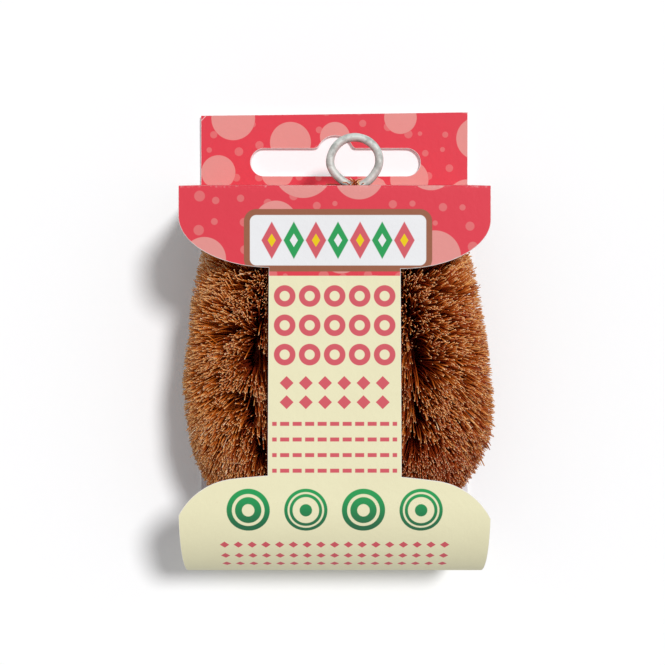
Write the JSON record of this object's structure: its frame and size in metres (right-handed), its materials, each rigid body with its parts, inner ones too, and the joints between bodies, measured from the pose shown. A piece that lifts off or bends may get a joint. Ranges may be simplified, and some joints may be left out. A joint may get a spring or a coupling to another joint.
{
  "type": "vegetable brush",
  "caption": "Coir scrub brush of twisted wire bent to a closed oval loop, with a hanging ring, held in a folded card sleeve with a hang tab.",
  "frame": {"origin": "on the outer face of the sleeve's back panel, midway across the card", "axes": "+X across the sleeve, +Y up to the hanging ring and the tab, +Z from the back panel to the front"},
  "size_m": [0.0699, 0.1066, 0.036],
  "materials": {
    "card": "printed, satin",
    "wire": "galvanised",
    "coir": "coarse plant fibre"
  },
  "bodies": {
    "sleeve": {"card_back_panel": "card", "card_bottom_wrap": "card", "card_front_panel": "card"},
    "flap": {"card_top_flap": "card"},
    "brush": {"hanging_ring": "wire", "core_strand_a": "wire", "core_strand_b": "wire", "neck_binding": "wire", "bristles_top": "coir", "bristles_shoulder_left": "coir", "bristles_upper_limb_left": "coir", "bristles_lower_limb_left": "coir", "bristles_bend_side_left": "coir", "bristles_bend_base_left": "coir", "bristles_bend_base_right": "coir", "bristles_bend_side_right": "coir", "bristles_lower_limb_right": "coir", "bristles_upper_limb_right": "coir", "bristles_shoulder_right": "coir"}
  },
  "joints": [
    {"name": "top_flap_fold", "type": "hinge", "parent": "sleeve", "child": "flap", "pos_m": [0, 0.03047, 0.03578], "axis": [1, 0, 0], "range_deg": [0, 100]},
    {"name": "brush_side_shift", "type": "slide", "parent": "sleeve", "child": "brush", "axis": [1, 0, 0], "range_m": [-0.0033, 0.0021]}
  ]
}
